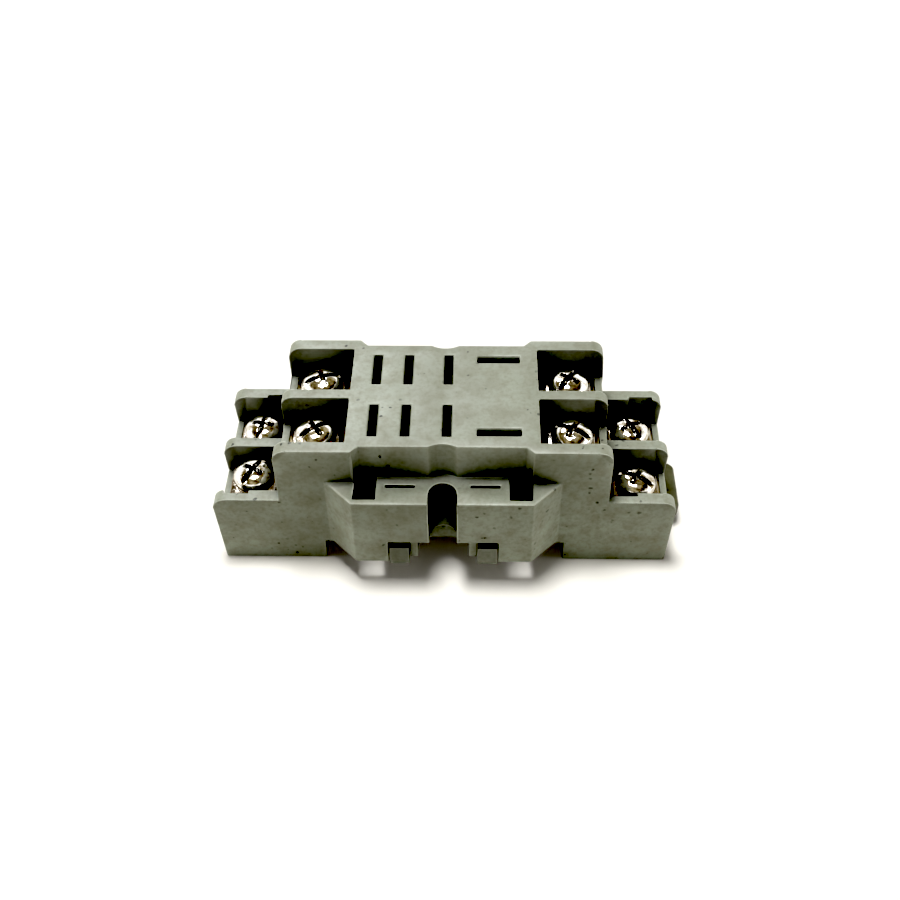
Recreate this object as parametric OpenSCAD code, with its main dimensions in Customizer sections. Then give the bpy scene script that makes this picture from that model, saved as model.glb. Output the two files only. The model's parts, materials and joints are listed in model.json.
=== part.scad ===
// Relay socket with screw terminals, for a 35 mm top-hat rail or two panel screws.
// Frame: +X along the socket, +Y across it, +Z up, origin in the middle of the base plane.
// The feature that takes the most skill is the stepped housing moulding: barrier bays on two
// levels, mounting ears with through pockets, clip slits, screw slots and lug windows.

/* [Body] */
// Length over the outer ends of the lower barrier walls
body_len = 68; // [67:0.25:71]
// Width over the end regions of the long sides
body_w = 23.6; // [23.2:0.2:25]
// Height of the deck above the base plane
deck_z = 23.6; // [23.4:0.1:25]
// Height of the tops of the lower barrier walls
lower_wall_z = 13.2; // [12.6:0.1:14.4]
// Length of the relay seat between the upper terminal bays
seat_len = 27.7; // [27.4:0.1:28.4]
// Length of the upper terminal bays
upper_bay_len = 10.2; // [9.9:0.1:10.6]
// Thickness of the outer barrier walls
outer_wall_t = 2.05; // [1.8:0.05:2.2]
// Thickness of the middle barrier wall
mid_wall_t = 1.85; // [1.5:0.05:2.1]
// Thickness of the deck over the contacts
deck_t = 2.5; // [2.2:0.1:2.7]
// Radius of the outer top corners of the barrier walls
wall_corner_r = 2; // [1:0.1:2.6]
// How far each end leans in from the wall ends down to the base
end_draft = 0.45; // [0:0.05:0.6]
// How far the waist of each long side is set back
waist_depth = 1.15; // [0.8:0.05:1.2]
// Length of the set-back waist
waist_len = 23.7; // [23:0.1:24.2]
// Run of the slanted step at each end of the waist
waist_chamfer = 1.1; // [0.8:0.1:1.2]
// Thickness of the side walls along the waist
waist_wall_t = 1.25; // [1.1:0.05:1.5]
// Thickness of the end walls of the contact chambers
chamber_end_t = 1.5; // [1.2:0.1:1.8]

/* [Terminal shelves] */
// Height of the upper terminal seats
upper_seat_z = 17.2; // [17:0.1:17.6]
// Height of the lower terminal seats
lower_seat_z = 7.1; // [7:0.1:7.5]
// Thickness of the floor under the upper terminals
upper_floor_t = 1.3; // [1:0.1:1.6]
// Thickness of the floor under the lower terminals
lower_floor_t = 1.5; // [1.2:0.1:1.8]
// Height of the sill at the outer end of each bay above its seat
sill_h = 0.6; // [0.4:0.1:0.8]
// Thickness of the sills
sill_t = 1.2; // [1:0.1:1.4]
// Thickness of the riser wall between the two levels
step_wall_t = 1.4; // [1.2:0.1:1.6]
// Depth of the relief in the inner face of the lower outer walls
wall_relief = 0.6; // [0.3:0.05:0.8]
// Distance from the inner end of a bay to its screw
screw_inset = 4.7; // [4.5:0.1:4.9]

/* [Deck slots] */
// Length of a blade slot
slot_len = 6.4; // [6:0.1:6.6]
// Width of a blade slot below its lead-in
slot_w = 1; // [0.8:0.05:1.2]
// Width of a blade slot at the deck
slot_mouth_w = 1.6; // [1.4:0.05:1.8]
// Depth of the lead-in
slot_lead = 0.7; // [0.4:0.1:1]
// Place of the slots served by the upper left terminals
col_a_x = -10.1; // [-10.3:0.05:-10]
// Place of the slots served by the lower left terminals
col_b_x = -5.4; // [-5.6:0.05:-5.2]
// Place of the slots served by the lower right terminals
col_c_x = 0.55; // [0.4:0.05:0.7]
// Middle of the two coil slots along the socket
coil_x = 8; // [7.8:0.05:8.1]
// Distance of the coil slots from the side walls of the contact chambers
coil_inset = 1.8; // [1.8:0.05:2]

/* [Mounting ears] */
// Length of the flat front of an ear
ear_front_len = 25.9; // [25.5:0.1:27]
// How far an ear stands out from the end regions
ear_out = 4.15; // [4:0.05:4.6]
// Height of the top of the ears
ear_top_z = 17.35; // [16.8:0.05:18]
// Height of the underside of the ears above the base plane
ear_foot_z = 4.4; // [4.3:0.05:4.6]
// Thickness of the front strip of an ear
ear_strip_t = 1; // [0.8:0.05:1.1]
// Thickness of the top plate of an ear
ear_plate_t = 2; // [1.6:0.1:2.4]
// Length of the top plate between the two pockets
ear_plate_len = 19.2; // [18.8:0.1:19.6]
// Length of each pocket
ear_pocket_len = 3.15; // [2.8:0.05:3.3]
// Width of the screw slot
ear_slot_w = 4.1; // [3.9:0.05:4.5]
// Distance of the inner end of the screw slot from the centre line
ear_slot_back_y = 11.8; // [11.7:0.05:12.1]
// Wall around the screw slot
ear_slot_wall = 1; // [0.8:0.05:1.1]
// Radius of the screw-head groove in the waist above the ear
head_groove_r = 3.8; // [3.6:0.05:4]
// Width of the tunnel under the screw slot
tunnel_w = 7.6; // [7:0.1:7.8]
// Height of the tunnel roof above the ear's underside
tunnel_h = 3.5; // [3.2:0.1:3.6]
// Wall of the tunnel
tunnel_wall = 1.15; // [1:0.05:1.2]
// Length of the clip slits
clip_slit_len = 4.2; // [3.8:0.1:4.4]
// Width of the clip slits
clip_slit_w = 0.4; // [0.3:0.05:0.6]
// Distance of the clip slits from the middle of the ear to their centre
clip_slit_x = 6.1; // [5.9:0.1:6.3]
// Distance of the clip slits from the waist wall
clip_slit_inset = 1.8; // [1.6:0.1:2]
// Length of the window for the cover lugs
lug_window_len = 16.2; // [16:0.1:16.4]
// Height of the window for the cover lugs above the ear's underside
lug_window_h = 4.35; // [4.2:0.05:4.6]

/* [Rail channel] */
// Length of the rail channel between the feet
rail_gap = 36; // [35.6:0.1:36.2]
// Height of the rail channel in the side walls
rail_h = 3.9; // [3.8:0.05:4]
// Thickness of the rail's flange
rail_flange_t = 1; // [0.9:0.1:1.1]
// How far the hooks and the latch reach under the rail
hook_reach = 1.3; // [1:0.1:1.5]
// Thickness of the hooks at their root
hook_t = 1.5; // [1.2:0.1:1.6]
// Thickness of the cross walls and end walls of the feet
foot_wall_t = 1.4; // [1.2:0.1:1.5]

/* [Bottom cover] */
// Thickness of the bottom cover
cover_t = 1.4; // [1.3:0.05:1.6]
// Height of the snap lugs
lug_h = 3.6; // [3.4:0.05:3.7]
// How far a barb stands out from its lug
barb = 0.3; // [0.2:0.05:0.4]

/* [Terminals] */
// Thickness of the terminal strips
strip_t = 1; // [0.8:0.05:1.1]
// Width of the terminal strips inside the housing
strip_neck_w = 5.6; // [5:0.1:5.8]
// Distance from the inner end of a bay to the wide part of its strip
strip_start_gap = 0.7; // [0.5:0.05:0.9]
// Depth of the drawn collar under a terminal strip
collar_h = 1; // [0.8:0.1:1.2]
// Outside diameter of the collar
collar_d = 5; // [4.8:0.1:5.2]
// Diameter of the terminal screw's shank
screw_d = 3.5; // [3.4:0.05:3.6]
// Length of the terminal screw's shank
screw_len = 4.6; // [4.4:0.1:4.8]
// Diameter of the screw head
head_d = 6; // [5.6:0.1:6.4]
// Height of the screw head
head_h = 2.4; // [2.2:0.1:2.6]
// Radius of the dome on the screw head
head_dome_r = 5; // [4.5:0.1:6]
// Width of the driver slot
driver_slot_w = 0.9; // [0.7:0.05:1]
// Depth of the driver slot
driver_slot_h = 1; // [0.8:0.05:1.2]
// Length of the cross recess over its arms
cross_len = 3.6; // [3:0.1:4]
// Width of the arms of the cross recess
cross_w = 0.8; // [0.6:0.05:1]
// Depth of the cross recess
cross_h = 1.5; // [1.2:0.05:1.6]
// How far the loose screw stands up
loose_rise = 1.1; // [0:0.1:1.5]

/* [Clamp washers] */
// Length of a clamp washer along the socket
clamp_len = 6.8; // [6.4:0.1:7]
// Thickness of the clamp washers
clamp_t = 0.8; // [0.6:0.05:0.9]
// Height of a clamp washer over its turned-down edges
clamp_h = 1.5; // [1.3:0.05:1.6]

/* [Contact clips] */
// Thickness of the clip metal
clip_t = 0.4; // [0.3:0.05:0.45]
// Width over the legs of a clip
clip_w = 2.1; // [2:0.05:2.2]
// Height of a clip
clip_h = 7.2; // [7:0.1:7.3]
// Gap between the legs where they grip the blade
clip_pinch = 0.5; // [0.3:0.05:0.6]
// Gap between the flared tips
clip_mouth = 1.5; // [1.4:0.05:1.6]
// Diameter of the stake that joins strip and clip
stake_d = 1.6; // [1.4:0.05:1.8]

/* [Rail latch] */
// Width of the latch
latch_w = 9.4; // [9:0.1:9.6]
// Height of the underside of the latch above the base plane
latch_z = 1.2; // [1.1:0.05:1.3]
// Height of the top of the latch above the base plane
latch_top_z = 4; // [3.9:0.05:4.1]
// How far the pull tab stands out beyond the wall ends
tab_out = 2.3; // [2:0.1:2.6]
// Distance from the rail channel to the latch's spring pocket
pocket_inset = 3.6; // [3.4:0.1:3.8]
// Length of the latch spring at rest
spring_len = 7; // [6.8:0.1:7.2]
// Outside diameter of the latch spring
spring_d = 2.4; // [2.2:0.05:2.5]
// Wire thickness of the latch spring
spring_wire = 0.35; // [0.3:0.05:0.4]
// Number of turns of the latch spring
spring_turns = 7; // [6:1:8]

/* [Clearances] */
// Clearance around the bottom cover
cover_fit = 0.1; // [0.05:0.05:0.15]
// Clearance at the outer ends of the snap lugs
lug_fit = 0.15; // [0.1:0.05:0.4]
// Clearance around the latch
latch_fit = 0.1; // [0.1:0.05:0.15]
// Radial clearance of the screw shanks in the strips
thread_fit = 0.05; // [0.03:0.01:0.08]
// Radial clearance of the screw shanks in the clamp washers
clamp_fit = 0.2; // [0.15:0.05:0.3]
// Clearance of the strips in their windows
strip_fit = 0.25; // [0.2:0.05:0.3]
// Clearance between a terminal strip and the side walls of its bay
strip_side_fit = 0.41; // [0.31:0.05:0.71]
// Clearance between a terminal strip and the sill of its bay
strip_end_fit = 0.15; // [0.05:0.05:0.4]
// Clearance between a clamp washer and the side walls of its bay
clamp_side_fit = 0.51; // [0.46:0.05:0.81]

/* [Hidden] */
$fn = 48;
eps = 0.01;
half_len = body_len / 2;
half_w = body_w / 2;
seat_x = seat_len / 2;
step_x = seat_x + upper_bay_len;
bay_in_y = mid_wall_t / 2;
bay_out_y = half_w - outer_wall_t;
bay_y = (bay_in_y + bay_out_y) / 2;
bay_w = bay_out_y - bay_in_y;
strip_w = bay_w - 2 * strip_side_fit;
clamp_w = bay_w - 2 * clamp_side_fit;
waist_y = half_w - waist_depth;
chamber_y = waist_y - waist_wall_t;
coil_y = chamber_y - coil_inset;
chamber_x = seat_x - chamber_end_t;
chamber_top_z = deck_z - deck_t;
channel_x = rail_gap / 2;
cover_z = rail_h + cover_fit / 2;
cover_seat_z = cover_z + cover_t + cover_fit / 2;
lower_floor_z = lower_seat_z - lower_floor_t;
upper_floor_z = upper_seat_z - upper_floor_t;
end_base_x = half_len - end_draft;
relief_end = 1.6;
relief_start = 0.4;
strip_way_h = 0.5;
cross_bottom_len = cross_len * 0.4;
screw_end_gap = 0.3;
screw_side_gap = 0.4;
cut = 1;

ear_y = half_w + ear_out;
ear_half_front = ear_front_len / 2;
ear_half_plate = ear_plate_len / 2;
ear_strip_y = ear_y - ear_strip_t;
ear_slot_r = ear_slot_w / 2;
ear_slot_y = ear_slot_back_y + ear_slot_r;
ear_root_y = waist_y - waist_wall_t / 2;
window_half = lug_window_len / 2;
tunnel_half = tunnel_w / 2;
tunnel_back_t = 0.55;
tunnel_back_y = waist_y + tunnel_back_t;
tunnel_corner_r = 2;
lintel_h = 0.5;
lug_in_x = tunnel_half + tunnel_wall + cover_fit;
lug_out_x = window_half - lug_fit;
barb_rise = 1.2;
barb_z = ear_foot_z + barb_rise;
barb_h = 1;
barb_len = 1.6;
barb_inset = 2.2;
barb_y = ear_strip_y - barb_inset;

clip_half = clip_w / 2;
clip_gap = 0.2;
clip_top_z = chamber_top_z - clip_gap;
clip_z = clip_top_z - clip_h;
clip_straight = clip_h * 0.6;
clip_pinch_z = clip_h * 0.8;
stake_z = clip_z + clip_straight / 2;
rib_t = 0.9;
rib_gap = 1.5;
rib_z = lower_seat_z + strip_t + rib_gap;
cover_pad_len = 3.2;
cover_pad_inset = 1;
cover_pad_w = 4;
coil_arm_w = 2.4;
coil_arm_gap = 0.4;
coil_tab_inset = 0.6;

hook_gap = 0.1;
hook_top_z = rail_h - rail_flange_t - hook_gap;
hook_tip_t = 0.6;
nose_run = 1;
hook_w = 5;
hook_y = 5.5;
latch_half = latch_w / 2;
latch_in_x = channel_x + latch_fit;
latch_out_x = half_len + tab_out;
tab_low_chamfer = 0.5;
tab_top_chamfer = 0.3;
tab_corner_cut = 1.2;
guide_t = 1.1;
guide_y = latch_half + latch_fit;
ledge_w = 0.9;
ledge_top_z = latch_z - latch_fit;
ledge_t = 0.7;
keeper_t = 1;
keeper_y = 3.6;
pocket_x = latch_in_x + pocket_inset;
pocket_side_gap = 0.25;
pocket_w = spring_d + 2 * pocket_side_gap;
spring_gap = 0.05;
spring_z = (latch_z + latch_top_z) / 2;
post_x = pocket_x + spring_len;
post_t = 1.2;
pocket_end_x = post_x + post_t + latch_fit;

// Terminals 1 to 4 are at the left end, 5 to 8 at the right. In each four the first two are
// on the upper level, and odd numbers are in the front row.
function end_sign(n) = n <= 4 ? -1 : 1;
function row_sign(n) = n % 2 == 1 ? -1 : 1;
function is_lower(n) = (n - 1) % 4 >= 2;
function is_coil(n) = n == 5 || n == 6;
function is_loose(n) = n == 3;
function seat_z(n) = is_lower(n) ? lower_seat_z : upper_seat_z;
function bay_x(n) = is_lower(n) ? step_x : seat_x;
function bay_end_x(n) = is_lower(n) ? half_len : step_x;
function screw_x(n) = bay_x(n) + screw_inset;
function clip_x(n) = n <= 2 ? col_a_x : n <= 4 ? col_b_x : is_coil(n) ? coil_x : col_c_x;
function clip_y(n) = is_coil(n) ? coil_y : bay_y;
function screw_rise(n) = is_loose(n) ? loose_rise : 0;
function screw_turn(n) = [35, 20, 62, 80, -28, 55, 150, 118][n - 1];

// Points of an arc in order from angle a0 to a1
function arc(cx, cy, r, a0, a1, steps = 8) =
    [for (i = [0 : steps]) let (a = a0 + (a1 - a0) * i / steps) [cx + r * cos(a), cy + r * sin(a)]];

// Points of a right half followed by those of its mirror image, as one closed outline
function with_mirror_image(points) =
    concat(points, [for (i = [len(points) - 1 : -1 : 0]) [-points[i][0], points[i][1]]]);

housing_color = "#8d8f82";
cover_color = "#7d7f72";
latch_color = "#55564a";
brass_color = "#b09a5a";
bronze_color = "#a5834a";
steel_color = "#c9c5b4";

// A box given by its two opposite corners
module span(low, high) {
    translate(low) cube(high - low);
}

// A shape repeated in all four quarters of the plan
module in_quarters() {
    for (sx = [0, 1], sy = [0, 1]) {
        mirror([sx, 0, 0]) mirror([0, sy, 0]) children();
    }
}

// A shape repeated at both long sides
module on_both_sides() {
    for (sy = [0, 1]) {
        mirror([0, sy, 0]) children();
    }
}

// A side-view outline, given as points in X and Z, drawn out along Y
module across(y0, y1) {
    translate([0, y1, 0]) rotate([90, 0, 0]) linear_extrude(y1 - y0) children();
}

/* Housing */

// Stepped side view, with both ends leaning in towards the base
module side_view() {
    r = wall_corner_r;
    polygon(with_mirror_image(concat(
        [[end_base_x, 0]],
        arc(half_len - r, lower_wall_z - r, r, 0, 90),
        [[step_x, lower_wall_z]],
        arc(step_x - r, deck_z - r, r, 0, 90)
    )));
}

// Set-back waist at the +Y side, with slanted steps at its ends
module waist_cut() {
    x_in = waist_len / 2;
    x_out = x_in + waist_chamfer;
    translate([0, 0, -cut])
        linear_extrude(deck_z + 2 * cut)
            polygon([
                [-x_in, waist_y], [x_in, waist_y], [x_out, half_w],
                [x_out, half_w + cut], [-x_out, half_w + cut], [-x_out, half_w]
            ]);
}

// Terminal bays of one quarter, open at the top and at the outer end
module bay_cuts() {
    above = deck_z + cut;
    span([seat_x, bay_in_y, upper_seat_z + sill_h], [step_x + cut, bay_out_y, above]);
    span([seat_x, bay_in_y, upper_seat_z], [step_x - sill_t, bay_out_y, above]);
    span([step_x - eps, bay_in_y, lower_seat_z + sill_h], [half_len + cut, bay_out_y, above]);
    span([step_x - eps, bay_in_y, lower_seat_z], [half_len - sill_t, bay_out_y, above]);
    // The way inward for the lower strip, under the upper shelf
    span([chamber_x, bay_in_y, lower_seat_z], [step_x - step_wall_t, bay_out_y, upper_floor_z]);
    half = strip_neck_w / 2 + strip_fit;
    span([seat_x, bay_y - half, lower_seat_z], [step_x, bay_y + half, lower_seat_z + strip_t + strip_way_h]);
    // Room for the collars and screw ends
    translate([seat_x + screw_inset, bay_y, upper_floor_z - cut])
        cylinder(r = collar_d / 2 + strip_fit, h = upper_floor_t + 2 * cut);
    translate([step_x + screw_inset, bay_y, lower_floor_z - cut])
        cylinder(r = collar_d / 2 + strip_fit, h = lower_floor_t + 2 * cut);
}

// Relief in the inner face of a lower outer wall, on the +X side of the screw at the +Y side
module relief_cuts() {
    for (turn = [0, 180]) {
        rotate([0, 0, turn]) {
            span([step_x + screw_inset, bay_out_y - eps, lower_seat_z],
                 [half_len - relief_end, bay_out_y + wall_relief, lower_wall_z + cut]);
            span([-step_x - screw_inset + relief_start, bay_out_y - eps, lower_seat_z],
                 [-step_x + eps, bay_out_y + wall_relief, lower_wall_z + cut]);
        }
    }
}

// Window that lets an upper strip into its contact chamber
module strip_window() {
    half = strip_neck_w / 2 + strip_fit;
    span([chamber_x - cut, bay_y - half, upper_seat_z], [seat_x + eps, bay_y + half, chamber_top_z]);
}

// Contact chambers, cover seat and rail channel
module inner_cuts() {
    on_both_sides() {
        span([-chamber_x, bay_in_y, -cut], [chamber_x, chamber_y, chamber_top_z]);
    }
    cover_x = channel_x - cover_fit;
    in_quarters() {
        span([0, bay_in_y, -cut], [cover_x, chamber_y, lower_seat_z + eps]);
        span([chamber_x - eps, chamber_y - eps, -cut], [cover_x, bay_out_y, lower_seat_z + eps]);
    }
    span([-cover_x, -chamber_y, -cut], [cover_x, chamber_y, cover_seat_z]);
    span([-channel_x, -half_w - cut, -cut], [channel_x, half_w + cut, rail_h]);
}

// Hollow feet under the lower terminals
module foot_cuts() {
    x_in = channel_x + foot_wall_t;
    x_out = end_base_x - foot_wall_t;
    on_both_sides() {
        span([-x_out, bay_in_y, -cut], [-x_in, bay_out_y, lower_floor_z]);
    }
    span([x_in, -bay_out_y, -cut], [x_out, bay_out_y, lower_floor_z]);
    // Way for the latch through the foot's cross wall and end wall
    span([channel_x - cut, -guide_y, ledge_top_z - ledge_t],
         [half_len + cut, guide_y, latch_top_z + latch_fit]);
}

// A blade slot along Y with a lead-in on both long sides, cut down through the deck
module blade_slot() {
    half = slot_w / 2;
    mouth = slot_mouth_w / 2;
    translate([0, slot_len / 2, deck_z])
        rotate([90, 0, 0])
            linear_extrude(slot_len)
                polygon([
                    [-half, -deck_t - cut], [half, -deck_t - cut], [half, -slot_lead], [mouth, 0],
                    [mouth, cut], [-mouth, cut], [-mouth, 0], [-half, -slot_lead]
                ]);
}

module deck_slots() {
    for (n = [1 : 8]) {
        translate([clip_x(n), row_sign(n) * clip_y(n), 0])
            rotate([0, 0, is_coil(n) ? 90 : 0])
                blade_slot();
    }
}

// Cross ribs that keep the contacts of one row apart
module chamber_ribs() {
    between_a_and_b = (col_a_x + col_b_x - rib_t) / 2;
    between_b_and_c = (col_b_x + col_c_x) / 2;
    beside_coil = coil_x - slot_len / 2 - rib_t;
    for (x = [between_a_and_b, between_b_and_c, beside_coil]) {
        on_both_sides() {
            span([x - rib_t / 2, bay_in_y - eps, rib_z],
                 [x + rib_t / 2, chamber_y + eps, chamber_top_z + eps]);
        }
    }
}

// Groove above the ear that clears the head of a mounting screw
module head_groove() {
    translate([0, ear_slot_y, ear_top_z]) cylinder(r = head_groove_r, h = deck_z);
}

// Plan of the ear at the +Y side
module ear_plan() {
    out = ear_y - half_w;
    polygon([
        [-ear_half_front - out, ear_root_y], [ear_half_front + out, ear_root_y],
        [ear_half_front + out, half_w], [ear_half_front, ear_y],
        [-ear_half_front, ear_y], [-ear_half_front - out, half_w]
    ]);
}

// Straight-sided slot along Y that ends in a half circle at its inner end
module screw_slot(r, y_out, z0, z1) {
    translate([0, ear_slot_y, z0]) cylinder(r = r, h = z1 - z0);
    span([-r, ear_slot_y, z0], [r, y_out, z1]);
}

// Tunnel under the screw slot, with rounded inner corners
module tunnel_cut() {
    r = tunnel_corner_r;
    roof_z = ear_foot_z + tunnel_h;
    out = ear_y + cut;
    span([-tunnel_half + r, tunnel_back_y, ear_foot_z - cut], [tunnel_half - r, out, roof_z]);
    span([-tunnel_half, tunnel_back_y + r, ear_foot_z - cut], [tunnel_half, out, roof_z]);
    for (x = [-tunnel_half + r, tunnel_half - r]) {
        translate([x, tunnel_back_y + r, ear_foot_z - cut]) cylinder(r = r, h = tunnel_h + cut);
    }
}

// Ear at the +Y side: an outer shell, a wall around the screw slot and the tunnel below it
module ear() {
    plate_z = ear_top_z - ear_plate_t;
    tunnel_out = tunnel_half + tunnel_wall;
    tunnel_top_z = ear_foot_z + lug_window_h + lintel_h;
    difference() {
        union() {
            difference() {
                translate([0, 0, ear_foot_z]) linear_extrude(ear_top_z - ear_foot_z) ear_plan();
                // Hollow under the top plate
                span([-window_half, waist_y, ear_foot_z - cut], [window_half, ear_strip_y, plate_z]);
                // Through pockets at both ends of the plate
                for (sx = [0, 1]) {
                    mirror([sx, 0, 0])
                        span([ear_half_plate, ear_root_y - cut, ear_foot_z - cut],
                             [ear_half_plate + ear_pocket_len, ear_strip_y, ear_top_z + cut]);
                }
                // Window for the cover lugs in the front strip
                span([-window_half, ear_strip_y - eps, ear_foot_z - cut],
                     [window_half, ear_y + cut, ear_foot_z + lug_window_h]);
            }
            screw_slot(ear_slot_r + ear_slot_wall, ear_strip_y, tunnel_top_z - eps, plate_z + eps);
            span([-tunnel_out, waist_y - eps, ear_foot_z], [tunnel_out, ear_strip_y, tunnel_top_z]);
        }
        screw_slot(ear_slot_r, ear_y + cut, ear_foot_z, ear_top_z + cut);
        tunnel_cut();
        for (x = [-clip_slit_x, clip_slit_x]) {
            span([x - clip_slit_len / 2, waist_y + clip_slit_inset - clip_slit_w / 2, plate_z - cut],
                 [x + clip_slit_len / 2, waist_y + clip_slit_inset + clip_slit_w / 2, ear_top_z + cut]);
        }
        // Catches for the lug barbs
        for (sx = [0, 1]) {
            mirror([sx, 0, 0])
                span([window_half - eps, barb_y - cover_fit, barb_z - cover_fit],
                     [window_half + barb, barb_y + barb_len + cover_fit, barb_z + barb_h + cover_fit]);
        }
    }
}

// Windows in the waist wall for the arms of the cover lugs
module arm_windows() {
    for (sx = [0, 1]) {
        mirror([sx, 0, 0])
            span([lug_in_x - cover_fit, chamber_y - cut, rail_h - cut],
                 [lug_out_x + cover_fit, waist_y + eps, cover_z + lug_h + cover_fit]);
    }
}

// Fixed hooks that reach under the rail at the left foot
module rail_hooks() {
    for (y = [-hook_y, hook_y]) {
        across(y - hook_w / 2, y + hook_w / 2)
            polygon([
                [-channel_x - eps, hook_top_z - hook_t], [-channel_x - eps, hook_top_z],
                [-channel_x + hook_reach, hook_top_z], [-channel_x + hook_reach, hook_top_z - hook_tip_t]
            ]);
    }
}

// Guides, ledges and keepers that carry the latch, and the post its spring bears on
module latch_guides() {
    x_in = channel_x + foot_wall_t - eps;
    x_out = end_base_x - foot_wall_t + eps;
    on_both_sides() {
        span([x_in, guide_y, ledge_top_z - ledge_t], [x_out, guide_y + guide_t, lower_floor_z + eps]);
        span([x_in, guide_y - ledge_w, ledge_top_z - ledge_t], [x_out, guide_y + eps, ledge_top_z]);
        span([x_in, keeper_y - keeper_t / 2, latch_top_z + latch_fit],
             [x_out, keeper_y + keeper_t / 2, lower_floor_z + eps]);
    }
    span([post_x, -pocket_w / 2 + latch_fit, latch_z],
         [post_x + post_t, pocket_w / 2 - latch_fit, lower_floor_z + eps]);
}

module housing() {
    color(housing_color)
    difference() {
        union() {
            difference() {
                across(-half_w, half_w) side_view();
                on_both_sides() {
                    waist_cut();
                    head_groove();
                }
                in_quarters() {
                    bay_cuts();
                    strip_window();
                }
                relief_cuts();
                inner_cuts();
                foot_cuts();
                deck_slots();
            }
            on_both_sides() {
                ear();
            }
            chamber_ribs();
            rail_hooks();
            latch_guides();
        }
        on_both_sides() {
            arm_windows();
        }
        // Room for the ends of the lower right screws above the latch guides
        screw_end_z = lower_seat_z + strip_t + clamp_h - screw_len;
        on_both_sides() {
            translate([step_x + screw_inset, bay_y, screw_end_z - screw_end_gap])
                cylinder(r = screw_d / 2 + screw_side_gap, h = lower_floor_t + cut);
        }
    }
}

/* Bottom cover */

// Arm and snap lug of one quarter
module snap_lug() {
    span([lug_in_x, chamber_y - cut, cover_z], [lug_out_x, ear_y, cover_z + lug_h]);
    span([lug_out_x - eps, barb_y, barb_z], [lug_out_x + barb, barb_y + barb_len, barb_z + barb_h]);
}

module bottom_cover() {
    plate_x = channel_x - 2 * cover_fit;
    plate_y = chamber_y - cover_fit;
    color(cover_color) {
        span([-plate_x, -plate_y, cover_z], [plate_x, plate_y, cover_z + cover_t]);
        in_quarters() {
            snap_lug();
        }
        // Pads under the inner ends of the lower strips
        for (n = [3, 4, 7, 8]) {
            from_clip = clip_half + strip_t + cover_pad_inset;
            translate([clip_x(n) + end_sign(n) * from_clip, row_sign(n) * bay_y, cover_z])
                span([-cover_pad_len / 2, -cover_pad_w / 2, 0],
                     [cover_pad_len / 2, cover_pad_w / 2, lower_seat_z - cover_z]);
        }
    }
}

/* Contacts */

// Wide part of a strip, with the collar that is drawn down around the screw
module strip_pad(n) {
    z = seat_z(n);
    span([bay_x(n) + strip_start_gap, bay_y - strip_w / 2, z],
         [bay_end_x(n) - sill_t - strip_end_fit, bay_y + strip_w / 2, z + strip_t]);
    translate([screw_x(n), bay_y, z - collar_h]) cylinder(d = collar_d, h = collar_h + eps);
}

module screw_hole(n) {
    translate([screw_x(n), bay_y, seat_z(n) - collar_h - cut])
        cylinder(r = screw_d / 2 + thread_fit, h = collar_h + strip_t + 2 * cut);
}

// Strip whose end turns down or up beside a clip that stands across the socket
module column_strip(n) {
    x_pad = screw_x(n);
    x_clip = end_sign(n) * clip_x(n) + clip_half;
    z = seat_z(n);
    tab_low_z = is_lower(n) ? z : stake_z - stake_d;
    tab_high_z = is_lower(n) ? stake_z + stake_d : z + strip_t;
    difference() {
        union() {
            strip_pad(n);
            span([x_clip, bay_y - strip_neck_w / 2, z], [x_pad, bay_y + strip_neck_w / 2, z + strip_t]);
            span([x_clip, bay_y - strip_neck_w / 2, tab_low_z],
                 [x_clip + strip_t, bay_y + strip_neck_w / 2, tab_high_z]);
            translate([x_clip - clip_t, bay_y, stake_z])
                rotate([0, 90, 0])
                    cylinder(d = stake_d, h = clip_t + strip_t / 2);
        }
        screw_hole(n);
    }
}

// Strip with a side arm that turns down beside a clip that stands along the socket
module coil_strip(n) {
    x_pad = screw_x(n);
    y_clip = coil_y - clip_half;
    arm_x = coil_x + slot_len / 2 + coil_arm_gap;
    arm_end_x = coil_x - strip_neck_w / 2;
    z = seat_z(n);
    difference() {
        union() {
            strip_pad(n);
            span([arm_x, bay_y - strip_neck_w / 2, z], [x_pad, bay_y + strip_neck_w / 2, z + strip_t]);
            span([arm_end_x, y_clip - coil_arm_w, z], [arm_x + eps, y_clip, z + strip_t]);
            span([arm_end_x, y_clip - strip_t, stake_z - stake_d], [arm_x - coil_tab_inset, y_clip, z + eps]);
            translate([coil_x, y_clip + clip_t, stake_z])
                rotate([90, 0, 0])
                    cylinder(d = stake_d, h = clip_t + strip_t / 2);
        }
        screw_hole(n);
    }
}

module terminal_strip(n) {
    color(brass_color)
    mirror([end_sign(n) < 0 ? 1 : 0, 0, 0])
        mirror([0, row_sign(n) < 0 ? 1 : 0, 0]) {
            if (is_coil(n)) {
                coil_strip(n);
            } else {
                column_strip(n);
            }
        }
}

// Section of a clip: two legs on a flat base, straight, then pinched in and flared out
module clip_section() {
    pinch = clip_pinch / 2;
    mouth = clip_mouth / 2;
    polygon(with_mirror_image([
        [clip_half, 0], [clip_half, clip_straight], [pinch + clip_t, clip_pinch_z],
        [mouth + clip_t, clip_h], [mouth, clip_h], [pinch, clip_pinch_z],
        [clip_half - clip_t, clip_straight], [clip_half - clip_t, clip_t]
    ]));
}

module contact_clip(n) {
    stake_side = is_coil(n) ? -row_sign(n) : end_sign(n);
    color(bronze_color)
    translate([clip_x(n), row_sign(n) * clip_y(n), clip_z])
        rotate([0, 0, is_coil(n) ? 90 : 0])
            difference() {
                across(-strip_neck_w / 2, strip_neck_w / 2) clip_section();
                translate([stake_side * (clip_half - clip_t / 2), 0, stake_z - clip_z])
                    rotate([0, 90, 0])
                        cylinder(d = stake_d + thread_fit, h = 2 * clip_t, center = true);
            }
}

/* Screws and clamp washers */

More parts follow.
